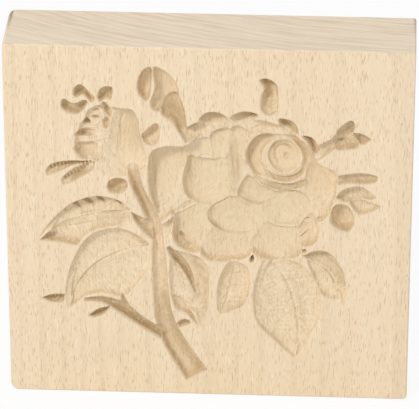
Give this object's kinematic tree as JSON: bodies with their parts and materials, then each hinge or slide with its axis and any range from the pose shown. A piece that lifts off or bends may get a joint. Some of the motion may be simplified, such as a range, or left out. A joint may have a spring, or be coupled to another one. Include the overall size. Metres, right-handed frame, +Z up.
{
  "type": "wooden cookie stamp",
  "caption": "Flat square beech block with a spray of roses, buds and leaves carved into its face, for pressing a relief into dough.",
  "frame": {"origin": "middle of the block's lower edge face, at half the thickness, where it stands on a table", "axes": "+Z up along the grain, -Y out of the carved face, +X to the right as the carving is seen"},
  "size_m": [0.1, 0.02, 0.097],
  "materials": {
    "beech": "planed and sanded, unvarnished"
  },
  "bodies": {
    "root": {"stamp_block": "beech"}
  },
  "joints": []
}
